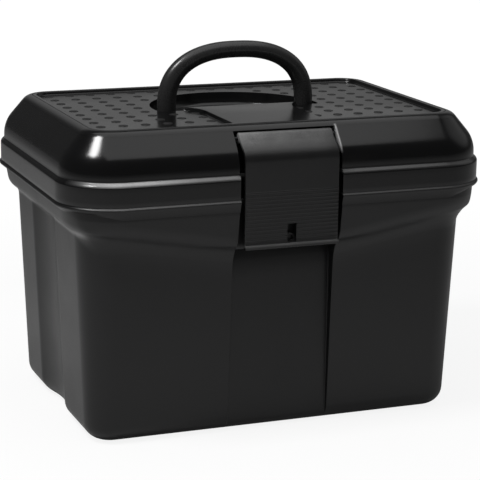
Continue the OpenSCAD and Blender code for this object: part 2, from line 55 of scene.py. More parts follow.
class Wire:
    def __init__(self, tree, socket=None):
        self.tree = tree
        self.socket = socket

    def node(self, kind, settings=None, inputs=None, out=0):
        made = self.tree.nodes.new(kind)
        for key, value in (settings or {}).items():
            if key == "stops":
                ramp = made.color_ramp.elements
                while len(ramp) < len(value):
                    ramp.new(0.5)
                for stop, (place, shade) in zip(ramp, value):
                    stop.position = place
                    stop.color = grey(shade)
            else:
                setattr(made, key, value)
        for key, value in (inputs or {}).items():
            if isinstance(value, Wire):
                self.tree.links.new(value.socket, made.inputs[key])
            else:
                made.inputs[key].default_value = value
        return Wire(self.tree, made.outputs[out]) if len(made.outputs) else made

    def maths(self, operation, first, second):
        return self.node("ShaderNodeMath", {"operation": operation}, {0: first, 1: second})

    def __add__(self, other):
        return self.maths("ADD", self, other)

    __radd__ = __add__

    def __mul__(self, other):
        return self.maths("MULTIPLY", self, other)

    __rmul__ = __mul__

    def __sub__(self, other):
        return self.maths("SUBTRACT", self, other)

    def __rsub__(self, other):
        return self.maths("SUBTRACT", other, self)


def grey(level, blue=0.0):
    return (level, level, level + blue, 1)


def clearTree(owner):
    owner.use_nodes = True
    owner.node_tree.nodes.clear()
    return Wire(owner.node_tree)


def startFinish(name):
    material = bpy.data.materials.new(name)
    return material, clearTree(material)


def noise(wire, place, scale, detail=3.0, rough=0.5):
    return wire.node("ShaderNodeTexNoise", {}, {
        "Vector": place, "Scale": scale, "Detail": detail, "Roughness": rough})


def spread(wire, value, low, high, outLow=0.0, outHigh=1.0):
    return wire.node("ShaderNodeMapRange", {"clamp": True}, {
        "Value": value, "From Min": low, "From Max": high, "To Min": outLow, "To Max": outHigh})


def shadeMix(wire, factor, first, second):
    return wire.node("ShaderNodeMix", {"data_type": "RGBA"}, {"Factor": factor, 6: first, 7: second}, out=2)


# bump from a height, and the shader joined to the output
def closeFinish(wire, bump, height, inputs):
    strength, depth = bump
    normal = wire.node("ShaderNodeBump", {}, {"Strength": strength, "Distance": depth, "Height": height})
    shader = wire.node("ShaderNodeBsdfPrincipled", {}, {**inputs, "Normal": normal})
    wire.node("ShaderNodeOutputMaterial", {}, {"Surface": shader})


# what most of the plastic finishes share
plasticBase = {
    "blue": 0.0003, "dust": 0.02, "stretch": (1.0, 1.0, 1.0), "specular": 0.5, "ior": 1.5, "paintedHighlights": ()}


# moulded plastic: grain, flow mottling, handling scuffs and dust, and painted highlights along some edges,
# all in object space
def plasticFinish(name, changes):
    spec = {**plasticBase, **changes}
    grainScale, grainShare = spec["grain"]
    scuffScale, scuffTone, scuffRough = spec["scuff"]
    dark, light = [grey(level, spec["blue"]) for level in spec["shades"]]
    material, wire = startFinish(name)
    place = wire.node("ShaderNodeTexCoord", out=3)
    flow = noise(wire, place, spec["flow"], 4.0, 0.55)
    cloud = noise(wire, place, spec["flow"] * 0.27, 2.0)
    grain = noise(wire, place, grainScale, 2.0, 0.6)
    mottle = grain * 0.5 + flow * 0.5
    stretch = wire.node("ShaderNodeMapping", {}, {"Vector": place, "Scale": spec["stretch"]})
    scuff = spread(wire, noise(wire, stretch, scuffScale, 5.0, 0.62), 0.62, 0.78)
    colour = shadeMix(wire, spread(wire, flow * 0.6 + cloud * 0.4, 0.3, 0.7), dark, light)
    colour = shadeMix(wire, scuff * scuffTone, colour, grey(spec["dust"]))
    # bands of painted highlight, a paler tone where edges catch the lamps: by height and depth, with a
    # strength along the box that follows where the light falls
    x, y, z = [wire.node("ShaderNodeSeparateXYZ", {}, {0: place}, out=k) for k in range(3)]
    for paintedBand in spec["paintedHighlights"]:
        low, lowFull, highFull, high = paintedBand["z"]
        band = spread(wire, z, low, lowFull) * spread(wire, z, high, highFull)
        along = wire.node("ShaderNodeValToRGB", {"stops": paintedBand["along"]}, {0: spread(wire, x, -0.2, 0.2)})
        patchy = spread(wire, mottle, 0.35, 0.65, paintedBand["speckle"], 1.0)
        highlightMask = band * spread(wire, y, *paintedBand["y"]) * along * patchy
        colour = shadeMix(wire, highlightMask, colour, grey(paintedBand["tone"]))
    rough = spread(wire, mottle, 0.25, 0.75, *spec["rough"]) + scuff * scuffRough
    closeFinish(wire, spec["bump"], grain * grainShare + flow * (1 - grainShare), {
        "Base Color": colour, "Roughness": rough, "Specular IOR Level": spec["specular"], "IOR": spec["ior"]})
    return material


# drawn steel: fine lines along the pin and a slow stain
def steelFinish(name, spec):
    material, wire = startFinish(name)
    place = wire.node("ShaderNodeTexCoord", out=3)
    drawn = wire.node("ShaderNodeMapping", {}, {"Vector": place, "Scale": spec["drawn"]})
    lines = noise(wire, drawn, spec["lines"], 3.0, 0.6)
    stain = noise(wire, place, spec["stain"], 3.0)
    colour = shadeMix(wire, stain, *[grey(level, spec["blue"]) for level in spec["shades"]])
    rough = spread(wire, lines, 0.3, 0.7, *spec["rough"])
    closeFinish(wire, spec["bump"], lines, {"Base Color": colour, "Roughness": rough, "Metallic": 1.0})
    return material


tubFinish = plasticFinish("satin_black_moulding", {
    "shades": (0.005, 0.0075), "flow": 22.0, "grain": (1500.0, 0.75), "bump": (0.22, 0.00016),
    "scuff": (30.0, 0.1, 0.05), "stretch": (1.0, 1.0, 0.25), "rough": (0.32, 0.42), "specular": 0.45,
    "paintedHighlights": [
        # painted highlights: a pale line along the rim bead in front, then along the shoulder at the ends
        {"z": (0.2163, 0.2169, 0.2182, 0.2186), "y": (-0.118, -0.130), "tone": 0.17, "speckle": 0.75,
         "along": [(0.02, 0.35), (0.1, 1.0), (0.3, 0.62), (0.6, 0.42), (1.0, 0.36)]},
        {"z": (0.1860, 0.1905, 0.1915, 0.1950), "y": (-0.122, -0.110), "tone": 0.3, "speckle": 0.6,
         "along": [(0.045, 1.0), (0.065, 0.0), (0.935, 0.0), (0.955, 1.0)]}]})
lidFinish = plasticFinish("gloss_black_moulding", {
    "shades": (0.0035, 0.0055), "flow": 26.0, "grain": (700.0, 0.3), "bump": (0.05, 0.0002),
    "scuff": (38.0, 0.12, 0.06), "stretch": (0.3, 1.0, 1.0), "rough": (0.15, 0.22),
    "paintedHighlights": [
        # painted highlights: a pale line along the ledge over the skirt, then along the right edge of the
        # latch pocket
        {"z": (0.2352, 0.2376, 0.2394, 0.2399), "y": (-0.108, -0.130), "tone": 0.6, "speckle": 0.8,
         "along": [(0.02, 0.2), (0.09, 1.0), (0.16, 1.0), (0.29, 0.4), (0.6, 0.12), (1.0, 0.08)]},
        {"z": (0.2530, 0.2600, 0.2755, 0.2768), "y": (-0.100, -0.112), "tone": 0.6, "speckle": 0.8,
         "along": [(0.6195, 0.0), (0.6203, 1.0), (0.6213, 1.0), (0.6225, 0.0)]}]})
studFinish = plasticFinish("grained_black_studs", {
    "shades": (0.005, 0.008), "flow": 60.0, "grain": (1800.0, 0.85), "bump": (0.4, 0.0002),
    "scuff": (60.0, 0.1, 0.05), "rough": (0.5, 0.6), "specular": 0.4})
handleFinish = plasticFinish("gloss_black_grip", {
    "shades": (0.027, 0.035), "flow": 40.0, "grain": (900.0, 0.35), "bump": (0.06, 0.00015),
    "scuff": (45.0, 0.14, 0.08), "stretch": (1.0, 0.5, 0.4), "rough": (0.24, 0.32)})
latchFinish = plasticFinish("semigloss_black_latch", {
    "shades": (0.011, 0.015), "dust": 0.03, "flow": 50.0, "grain": (1300.0, 0.8), "bump": (0.35, 0.0002),
    "scuff": (50.0, 0.15, 0.06), "stretch": (0.4, 1.0, 1.0), "rough": (0.3, 0.42),
    "paintedHighlights": [
        # painted highlights: a pale line along the finger lip, then a pale sheen over the head
        {"z": (0.1754, 0.1766, 0.1776, 0.1782), "y": (-0.139, -0.1405), "tone": 0.12, "speckle": 0.8,
         "along": [(0.0, 1.0), (1.0, 1.0)]},
        {"z": (0.2590, 0.2720, 0.2800, 0.2810), "y": (-0.09, -0.10), "tone": 0.31, "speckle": 0.35,
         "along": [(0.39, 1.0), (0.43, 0.82), (0.5, 0.55), (0.61, 0.40)]}]})
trayFinish = plasticFinish("satin_charcoal_tray", {
    "shades": (0.017, 0.025), "blue": 0.001, "dust": 0.06, "flow": 30.0, "grain": (1400.0, 0.75),
    "bump": (0.25, 0.00016), "scuff": (26.0, 0.25, 0.06), "stretch": (1.0, 1.0, 0.4), "rough": (0.4, 0.52),
    "specular": 0.4})
pinFinish = steelFinish("burnished_steel", {
    "shades": (0.05, 0.1), "blue": 0.002, "drawn": (40.0, 900.0, 900.0), "lines": 6.0, "stain": 180.0,
    "rough": (0.32, 0.5), "bump": (0.25, 0.00005)})
print("finishes made")


# mesh helpers

def lattice(rows, closeAcross=False, closeAlong=False):
    points = np.asarray(rows, dtype=float)
    count, width = points.shape[:2]
    faces = []
    for i in range(count if closeAcross else count - 1):
        for k in range(width if closeAlong else width - 1):
            i2, k2 = (i + 1) % count, (k + 1) % width
            faces.append((i * width + k, i2 * width + k, i2 * width + k2, i * width + k2))
    return points.reshape(-1, 3), faces


def polygonFace(points):
    return np.asarray(points, dtype=float), [tuple(range(len(points)))]


def addObject(name, data):
    item = bpy.data.objects.new(name, data)
    bpy.context.scene.collection.objects.link(item)
    return item


def buildPiece(name, parts, finish, body, slotName, stands=(), sharpAngle=35.0, weld=0.004):
    mesh = bpy.data.meshes.new(name)
    shape = bmesh.new()
    for points, faces in parts:
        made = [shape.verts.new(p) for p in np.asarray(points) * mm]
        for face in faces:
            shape.faces.new([made[i] for i in face])
    bmesh.ops.remove_doubles(shape, verts=shape.verts, dist=weld * mm)
    bmesh.ops.dissolve_degenerate(shape, edges=shape.edges, dist=weld * mm * 0.5)
    bmesh.ops.recalc_face_normals(shape, faces=shape.faces)
    shape.to_mesh(mesh)
    shape.free()
    mesh.shade_smooth()
    mesh.set_sharp_from_angle(angle=math.radians(sharpAngle))
    piece = addObject(name, mesh)
    mesh.materials.append(finish)
    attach(piece, body)
    if stands:
        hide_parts(*stands)
    print("piece", name, len(mesh.vertices), "points")


def arc(cx, cz, radius, start, end, count):
    turns = np.radians(np.linspace(start, end, count))
    return [(cx + radius * math.cos(a), cz + radius * math.sin(a)) for a in turns]


# a traced outline, sampled with the normal on its left: lines have both ends in four numbers,
# arcs have centre, radius, start and end in five
def trace(items, step):
    points, normals = [], []
    for item in items:
        if len(item) == 4:
            x0, y0, x1, y1 = item
            length = math.hypot(x1 - x0, y1 - y0)
            count = max(1, int(round(length / step)))
            ux, uy = (x1 - x0) / length, (y1 - y0) / length
            for i in range(count):
                points.append((x0 + (x1 - x0) * i / count, y0 + (y1 - y0) * i / count))
                normals.append((-uy, ux))
        else:
            cx, cy, radius, start, end = item
            span = math.radians(end - start)
            count = max(4, int(math.ceil(abs(span) * radius / step)), int(abs(end - start) / 7))
            for i in range(count):
                a = math.radians(start) + span * i / count
                points.append((cx + radius * math.cos(a), cy + radius * math.sin(a)))
                normals.append((-math.cos(a), -math.sin(a)) if span > 0 else (math.cos(a), math.sin(a)))
    return np.array(points), np.array(normals)


# sides and corners of a rounded rectangle, without its front side
def roundedSides(halfX, halfY, corner):
    x, y = halfX - corner, halfY - corner
    return [
        (x, -y, corner, -90, 0), (halfX, -y, halfX, y), (x, y, corner, 0, 90), (x, halfY, -x, halfY),
        (-x, y, corner, 90, 180), (-halfX, y, -halfX, -y), (-x, -y, corner, 180, 270)]


def roundedLoop(halfX, halfY, corner, step):
    x = halfX - corner
    return trace([(-x, -halfY, x, -halfY)] + roundedSides(halfX, halfY, corner), step)


# distance to a closed outline, positive inside
def insideDistance(points, loop):
    x, y = np.asarray(points, dtype=float).T
    best, inside = np.full(len(x), 1e9), np.zeros(len(x), dtype=bool)
    for (ax, ay), (bx, by) in zip(loop, np.roll(loop, -1, axis=0)):
        dx, dy = bx - ax, by - ay
        size = dx * dx + dy * dy
        if size < 1e-12:
            continue
        t = np.clip(((x - ax) * dx + (y - ay) * dy) / size, 0, 1)
        best = np.minimum(best, np.hypot(x - ax - t * dx, y - ay - t * dy))
        if ay != by:
            inside ^= ((ay > y) != (by > y)) & (x < ax + (y - ay) / (by - ay) * dx)
    return np.where(inside, best, -best)


# depth at every point by its distance inside an outline, or outside it where sign is -1
def edgeDepth(points, loop, curve, sign=1):
    return np.interp(sign * insideDistance(points, loop), *np.transpose(curve))


# an outline moved inwards by each distance of a curve
def nested(loop, inwards, curve):
    return [loop + inwards * d for d, _ in curve]


# a flat sheet cut along outlines, then lifted to a height at every point
def liftedSheet(edge, loops, height):
    points, edges = [], []
    for loop in [edge] + list(loops):
        base = len(points)
        points.extend(Vector((float(x), float(y))) for x, y in loop)
        edges.extend((base + i, base + (i + 1) % len(loop)) for i in range(len(loop)))
    flat, _, faces, _, _, _ = delaunay_2d_cdt(points, edges, [], 1, 1e-4)
    flat = np.array([(p.x, p.y) for p in flat])
    return np.column_stack([flat, height(flat)]), faces


# points and outward normals round a rounded outline, from the front's right half to its left half
def roundPath(size, front, side, rear, turns):
    hx, hy, c = size
    x, y = hx - c, hy - c

    def bend(cx, cy, start):
        return [(cx + c * math.cos(a), cy + c * math.sin(a), math.cos(a), math.sin(a))
                for a in np.radians(start + turns)]

    path = [(px, -hy, 0.0, -1.0) for px in front] + bend(x, -y, -90)
    path += [(hx, py, 1.0, 0.0) for py in side] + bend(x, y, 0)
    path += [(px, hy, 0.0, 1.0) for px in rear] + bend(-x, y, 90)
    path += [(-hx, py, -1.0, 0.0) for py in side[::-1]] + bend(-x, -y, 180)
    return path + [(-px, -hy, 0.0, -1.0) for px in front[::-1] if px > 0]


# rim path from one side of the latch bay round the back to the other side
def rimPath(startX, breaks=()):
    size = hx, hy, c = boxSizes["halfL"], boxSizes["halfD"], boxSizes["corner"]
    x, y = hx - c, hy - c
    front = sorted({startX, 70.0, 100.0, 130.0, *breaks})
    side, rear = np.linspace(-y, y, 13)[1:-1], np.linspace(x, -x, 21)[1:-1]
    return roundPath(size, front, side, rear, np.linspace(0, 90, 31))


def sweepAlong(path, section):
    return [[(px + nx * off, py + ny * off, z) for off, z in section] for px, py, nx, ny in path]


def frontRow(x, section):
    return [(x, -boxSizes["halfD"] - off, z) for off, z in section]


# outward unit normals of a closed outline
def outwards(loop):
    ahead, behind = np.roll(loop, -1, axis=0), np.roll(loop, 1, axis=0)
    turn = np.sign(np.sum(loop[:, 0] * ahead[:, 1] - ahead[:, 0] * loop[:, 1]))
    away = np.column_stack([(ahead - behind)[:, 1], -(ahead - behind)[:, 0]]) * turn
    return away / np.maximum(np.linalg.norm(away, axis=1, keepdims=True), 1e-9)


# rings joined to a form with both ends closed
def cappedRings(rows):
    points, faces = lattice(rows, closeAlong=True)
    n = len(rows[0])
    return points, faces + [tuple(range(n)), tuple(range(len(points) - n, len(points)))]


# a profile turned round an axis, each point put in place by a function
def turned(profile, count, place):
    turns = np.linspace(0, 2 * math.pi, count, endpoint=False)
    rows = [[place(r * math.cos(a), r * math.sin(a), along) for r, along in profile] for a in turns]
    return lattice(rows, closeAcross=True)


# an eased edge: shares of the easing along the form and into it
easing = ((0, 1), (0.3, 0.3), (1, 0))


# a closed YZ outline run along X with eased ends
def blockAlongX(outline, x0, x1, ease=0.5):
    loop = np.array(outline, dtype=float)
    away = outwards(loop)
    ends = [(x0 + k * ease, d * ease) for k, d in easing]
    ends += [(x1 - k * ease, d * ease) for k, d in easing[::-1]]
    return cappedRings([[(x, y, z) for y, z in loop - away * shrink] for x, shrink in ends])


# the same block on the left and on the right
def blockPair(outline, x0, x1, ease=0.5):
    return [blockAlongX(outline, *sorted((side * x0, side * x1)), ease=ease) for side in (-1, 1)]


# lid

lidSizes = {
    "step": 3.3, "skirtTop": 239.2, "skirtRound": 4.0, "ledgeTurn": math.radians(50.0), "slopeLow": 253.6,
    "slopeAngle": 50.0, "bendR": 30.0, "crownR": 12.5, "rimInset": 30.25, "lowRound": 0.3,
    "pocketDrop": 6.0, "pocketDepth": 9.0, "pocketEdge": 0.35, "pocketReach": 45.0,
    "panel": (165.9, 106.4, 16.0), "panelDepth": 3.2, "padHalf": 43.0, "flareR": 40.0, "panelRound": 3.0,
    "wellR": 80.5, "wellFront": -15.0, "wellCorner": 8.0,
    # edges in section: distance inwards, depth
    "panelEdge": [(-0.7, 0), (-0.35, 0.04), (-0.05, 0.16), (0.2, 0.5), (0.75, 2.3), (1.0, 2.88), (1.35, 3.13),
                  (1.8, 3.2)],
    "wellEdge": [(-1.6, 0), (-1.0, 0.1), (-0.45, 0.45), (0, 1.3), (0.35, 3.0), (1.0, 9.0), (1.45, 11.8),
                 (2.2, 13.7), (3.3, 15.0), (4.8, 15.75), (6.6, 16.0)],
    "wellBack": [(-2.0, 0), (-0.9, 0.3), (0, 1.6), (0.5, 8.0), (1.2, 11.4), (3.0, 12.5), (5.0, 12.8)],
    "studPitch": (20.4, 21.0), "studCount": (8, 5), "studR": 4.3, "studH": 0.35, "studClear": 5.6,
    "studProfile": [(0.0, 1.0), (0.55, 0.99), (0.78, 0.93), (0.9, 0.8), (0.97, 0.5), (1.0, 0.0), (1.0, -0.3)],
}
slope = math.radians(lidSizes["slopeAngle"])
slopeOut = np.array([math.sin(slope), math.cos(slope)])
slopeUp = np.array([-math.cos(slope), math.sin(slope)])
slopeRun = (boxSizes["topZ"] - lidSizes["slopeLow"]) / math.tan(slope)
crownSharp = np.array([-lidSizes["step"] - slopeRun, boxSizes["topZ"]])
pocketTop = crownSharp - slopeUp * lidSizes["pocketDrop"]


def lidCorners(t):
    s = lidSizes
    wall = np.array([-s["step"] - t, s["slopeLow"] - t * (1 - slopeOut[0]) / slopeOut[1]])
    rise = boxSizes["topZ"] - s["slopeLow"]
    run = (rise - t * (1 - slopeOut[1])) / slopeOut[0]
    crown = np.array([-s["step"] - t * slopeOut[0] - run * slopeOut[1], boxSizes["topZ"] - t])
    return wall, crown


# lid section moved inwards by t: from the lower edge to the pocket's top, then on to the flat rim
def lidSection(t, edgeUp):
    s = lidSizes
    low, r, step, ledge = boxSizes["lidLow"], s["lowRound"], s["step"], s["ledgeTurn"]
    turn, foot = max(s["skirtRound"] - t, 0.0), s["skirtTop"] - t
    pts = [(-t - r, low), (-t - 0.2 * r, low + 0.2 * r), (-t, low + r)]
    if t > 0:
        pts += [(-t, z) for z in np.linspace(low + 4, foot - turn, 4)]
        pts += arc(-t - turn, foot - turn, turn, 9, 90, 10)
    else:
        rest = step - turn * (1 - math.cos(ledge))
        start = foot - turn * math.sin(ledge) - rest / math.tan(ledge)
        pts += [(0.0, z) for z in np.linspace(low + 4, start, 4)]
        pts += arc(-turn, start, turn, 6, math.degrees(ledge), 8)
        pts += [(rest * k - step, foot - rest * k / math.tan(ledge)) for k in (0.5, 0.1)]
    pts += [(-step - t + 0.05, foot), (-step - t, foot + 0.25)]
    bend = lidCorners(s["bendR"])[0]
    pts += [(-step - t, z) for z in np.linspace(foot + 2, bend[1], 4)]
    pts += arc(bend[0], bend[1], s["bendR"] - t, 4, 40, 10)
    slopeEnd = pocketTop - slopeOut * t
    lowEnd = np.array(pts[-1])
    pts += [tuple(lowEnd + (slopeEnd - lowEnd) * k) for k in (0.25, 0.5, 0.75, 1.0)]
    if edgeUp >= 0:
        pts.append(tuple(slopeEnd + slopeUp * edgeUp))
    return pts


def lidUpper(edgeUp):
    s = lidSizes
    crown = lidCorners(s["crownR"])[1]
    pts = [tuple(pocketTop + slopeUp * edgeUp)]
    pts += arc(crown[0], crown[1], s["crownR"], 40, 90, 14)
    pts.append((-s["rimInset"], boxSizes["topZ"]))
    return pts


def handleWellLoop(grow, step):
    s = lidSizes
    r, c, cy = s["wellR"] + grow, s["wellCorner"] + grow, boxSizes["pivotY"]
    front = s["wellFront"] - grow
    lift = front + c - cy
    side = math.sqrt((r - c) ** 2 - lift ** 2)
    tilt = math.degrees(math.atan2(lift, side))
    return trace([
        (-side, front, side, front), (side, front + c, c, -90, tilt),
        (0, cy, r, tilt, 180 - tilt), (-side, front + c, c, 180 - tilt, 270)], step)


def panelLoop(step):
    s = lidSizes
    x, y, c = s["panel"]
    p, f = s["padHalf"], s["flareR"]
    small = s["panelRound"]
    flareY = boxSizes["pivotY"] - 2 - f
    tip = math.degrees(math.asin((s["wellFront"] + 2 - flareY) / f))
    tipX = p + f - f * math.cos(math.radians(tip))
    return trace([(p + small, -y, x - c, -y)] + roundedSides(x, y, c) + [
        (c - x, -y, -p - small, -y), (-p - small, small - y, small, -90, 0),
        (-p, small - y, -p, flareY), (-p - f, flareY, f, 0, tip),
        (-tipX, s["wellFront"] + 2, tipX, s["wellFront"] + 2),
        (p + f, flareY, f, 180 - tip, 180),
        (p, flareY, p, small - y), (p + small, small - y, small, 180, 270)], step)


def lidTop():
    s = lidSizes
    hy = boxSizes["halfD"] - s["rimInset"]
    panel, well = panelLoop(2.0), handleWellLoop(0.0, 2.0)

    def drop(points):
        inPanel = edgeDepth(points, panel[0], s["panelEdge"])
        return boxSizes["topZ"] - np.maximum(inPanel, edgeDepth(points, well[0], s["wellEdge"]))

    # the sheet's edge uses the same points as the swept rim
    path = rimPath(boxSizes["bayHalf"] + s["pocketEdge"])
    across = np.linspace(-path[0][0], path[0][0], 13)[1:-1]
    edge = [(px - nx * s["rimInset"], py - ny * s["rimInset"]) for px, py, nx, ny in path]
    edge += [(x, -hy) for x in across]
    return liftedSheet(edge, nested(*panel, s["panelEdge"]) + nested(*well, s["wellEdge"]), drop)


# wall of the latch pocket, from its rounded edge inwards: how far out, how deep
def pocketWall():
    edge = lidSizes["pocketEdge"]
    turns = np.radians((0, 22, 45, 68, 90))
    wall = [(edge * (1 - math.sin(a)), edge * (1 - math.cos(a))) for a in turns]
    return wall + [(0.0, t) for t in (2.0, 5.0, lidSizes["pocketDepth"])]


def lidShell():
    bay, edge = boxSizes["bayHalf"], lidSizes["pocketEdge"]
    path = rimPath(bay + edge, (bay + boxSizes["wall"],))
    parts = [lattice(sweepAlong(path, lidSection(0.0, edge) + lidUpper(edge)[1:]))]
    # slope and rim over the latch pocket
    across = np.linspace(-1, 1, 13)
    parts.append(lattice([frontRow(x * (bay + edge), lidUpper(edge)) for x in across]))
    parts.append(lidTop())
    # sides, top and back of the latch pocket
    for side in (-1, 1):
        parts.append(lattice([frontRow(side * (bay + out), lidSection(t, out)) for out, t in pocketWall()]))
    rows = []
    for out, t in pocketWall():
        point = pocketTop + slopeUp * out - slopeOut * t
        rows.append([frontRow(x * (bay + out), [point])[0] for x in across])
    parts.append(lattice(rows))
    parts.append(lattice([frontRow(x * bay, lidSection(lidSizes["pocketDepth"], -1)) for x in across]))
    return parts


# inside of the lid, down to where it meets the outer skin's lower edge
def lidInside():
    s = lidSizes
    bay, wall, hy = boxSizes["bayHalf"], boxSizes["wall"], boxSizes["halfD"]
    low, ceiling = boxSizes["lidLow"], boxSizes["topZ"] - s["panelDepth"] - wall
    deep = s["pocketDepth"] + wall
    back = -hy + s["pocketReach"]

    def inner(t, height):
        pts = [(-t, low)] + [p for p in lidSection(t, -1) if low + 1.5 < p[1] < height - 0.3]
        tip = np.array(lidCorners(t)[0])
        pts.append((tip[0] - (height - tip[1]) / math.tan(slope), height))
        return pts

    parts = []
    path = rimPath(bay + wall)
    regular = inner(wall, ceiling)
    parts.append(lattice(sweepAlong(path, regular)))
    inset = -regular[-1][0]
    edge = [(px - nx * inset, py - ny * inset) for px, py, nx, ny in path]
    edge += [(-bay - wall, back), (bay + wall, back)]
    well = handleWellLoop(wall, 2.5)

    def bulge(points):
        return ceiling - edgeDepth(points, well[0], s["wellBack"])

    parts.append(liftedSheet(edge, nested(*well, s["wellBack"]), bulge))
    # around the latch pocket
    shelf, across = boxSizes["topZ"] - deep, (-bay - wall, 0, bay + wall)
    pocket = inner(deep, shelf)
    parts.append(lattice([frontRow(x, pocket) for x in across]))
    tipY = -hy - pocket[-1][0]
    for side in (-1, 1):
        x = side * (bay + wall)
        ring = frontRow(x, regular) + [(x, back, ceiling), (x, back, shelf)] + frontRow(x, pocket)[::-1]
        parts.append(polygonFace(ring))
    parts.append(lattice([[(x, tipY, shelf), (x, back, shelf), (x, back, ceiling)] for x in across]))
    # lower edge between skin and inside
    parts.append(lattice(sweepAlong(path, [(-s["lowRound"], low), (-wall, low)])))
    ring = [(bay + wall, s["lowRound"])] + [(bay + out, t + s["lowRound"]) for out, t in pocketWall()]
    ring += [(bay, deep), (bay + wall, deep), (bay + wall, wall)]
    for side in (-1, 1):
        parts.append(polygonFace([(side * x, inwards - hy, low) for x, inwards in ring]))
    parts.append(lattice([frontRow(x, [(-s["pocketDepth"] - s["lowRound"], low), (-deep, low)])
                          for x in np.linspace(-bay, bay, 13)]))
    return parts


onLid = lidFinish, "lid_body", "lid_plastic"
buildPiece("lid_moulding", lidShell() + lidInside(), *onLid, ["lid"])


def lidStuds():
    s = lidSizes
    base = boxSizes["topZ"] - s["panelDepth"]
    panel, well = panelLoop(3.0)[0], handleWellLoop(0.0, 3.0)[0]
    (px, py), (nx, ny) = s["studPitch"], s["studCount"]
    spots = np.array([((i + 0.5) * px, (j + 0.5) * py) for i in range(-nx, nx) for j in range(-ny, ny)])
    clear = (insideDistance(spots, panel) > s["studClear"]) & (insideDistance(spots, well) < -s["studClear"])
    profile = [(k * s["studR"], base + h * s["studH"]) for k, h in s["studProfile"]]
    return [turned(profile, 24, lambda u, v, z: (x + u, y + v, z)) for x, y in spots[clear]]


buildPiece("lid_studs", lidStuds(), studFinish, "lid_body", "lid_plastic", sharpAngle=50)

hingeSizes = {
    "tubWidth": 22.0, "lidWidth": 12.0, "gap": 0.4, "lidRoot": 1.2, "rootLow": 203.0, "noseLow": 215.5,
}


def lidKnuckles():
    b, h = boxSizes, hingeSizes
    y, z, r = b["hingeY"], b["hingeZ"], b["knuckleR"]
    root = b["halfD"] - h["lidRoot"]
    outline = arc(y, z, r, -90, 90, 17) + [(root, z + 2 * r), (root, z - r)]
    place, half = (h["tubWidth"] + h["lidWidth"]) / 2 + h["gap"], h["lidWidth"] / 2
    middles = b["hingeX"] - place, b["hingeX"] + place
    return [part for x in middles for part in blockPair(outline, x - half, x + half)]


buildPiece("lid_knuckles", lidKnuckles(), *onLid)

bossSizes = {"x": (81.5, 95.0), "radius": 5.6, "drop": 1.9, "ease": 0.4}


# round bars with eased ends
def pivotBosses():
    s = bossSizes
    y, z, r, ease = boxSizes["pivotY"], boxSizes["pivotZ"] - s["drop"], s["radius"], s["ease"]
    parts = []
    for side in (-1, 1):
        x0, x1 = sorted(side * x for x in s["x"])
        profile = [(0.0, x0), (r - ease, x0), (r, x0 + ease), (r, x1 - ease), (r - ease, x1), (0.0, x1)]
        parts.append(turned(profile, 32, lambda u, v, x: (x, y + u, z + v)))
    return parts


buildPiece("handle_bosses", pivotBosses(), *onLid)


# carry handle

handleSizes = {
    "thick": 8.0, "gripThin": 0.5, "legWide": 8.8, "barHigh": 7.8, "leg": 68.0, "bend": 50.0, "arch": 2.4,
    "rise": 64.6, "seam": 0.12, "seamWide": 0.05, "sides": 48,
}


# round bar, wider across its legs than at the grip
def carryHandle():
    s, b = handleSizes, boxSizes
    r, leg, bend = s["thick"], s["leg"], s["bend"]
    bendZ = s["rise"] - s["barHigh"] - bend
    spine = [(leg, z, 0.0) for z in np.linspace(0, bendZ, 4)[:-1]]
    # the arch is a full oval, so that the grip is crowned and has no corners
    power = s["arch"]
    for a in np.radians(np.linspace(0, 180, 97)):
        c, t = math.cos(a), math.sin(a)
        x, z = abs(c) ** (2 / power), abs(t) ** (2 / power)
        turn = math.degrees(math.atan2(z ** (power - 1) / bend, math.copysign(x ** (power - 1), c) / leg))
        spine.append((math.copysign(leg * x, c), bendZ + bend * z, turn))
    spine += [(-leg, z, 180.0) for z in np.linspace(bendZ, 0, 4)[1:]]

    def ring(x, z, turn, share, drop=0.0):
        a = math.radians(turn)
        wide = (s["barHigh"] + (s["legWide"] - s["barHigh"]) * abs(math.cos(a)) ** 1.5) * share
        deep = (r - s["gripThin"] * math.sin(a)) * share
        row = []
        for k in range(s["sides"]):
            phi = 2 * math.pi * k / s["sides"]
            seam = sum(math.exp(-(((phi - crest * math.pi) / s["seamWide"]) ** 2)) for crest in (0.5, 1.5))
            out, back = wide * math.cos(phi), (deep + s["seam"] * share * seam) * math.sin(phi)
            high = b["pivotZ"] + z + out * math.sin(a) - drop
            row.append((x + out * math.cos(a), b["pivotY"] + back, high))
        return row

    capTurns = np.radians((0.5, 12, 25, 40, 55, 70, 82))
    rings = [ring(leg, 0, 0, math.sin(phi), r * math.cos(phi)) for phi in capTurns]
    rings += [ring(x, z, turn, 1.0) for x, z, turn in spine]
    rings += [ring(-leg, 0, 180, math.sin(phi), r * math.cos(phi)) for phi in capTurns[::-1]]
    return [cappedRings(rings)]


buildPiece("carry_bail", carryHandle(), handleFinish, "handle_body", "handle_plastic", ["carry_handle"])


# front latch

latchSizes = {
    "half": 44.0, "thick": 3.0, "low": 174.0, "bendR": 14.0, "bendZ": 250.0,
    "barrelR": 4.9, "barrelTurn": 278.0, "axisIn": 4.0, "axisDrop": 5.2, "curl": (4.72, 4.9),
    "lipH": 3.2, "lipOut": 3.0, "ribs": 14, "ribPitch": 3.3, "ribOut": 0.45, "edge": 0.7,
    "slotHalf": 4.3, "slotTop": 195.7, "hook": (9.0, 37.0, 182.5, 184.5, 1.2),
}


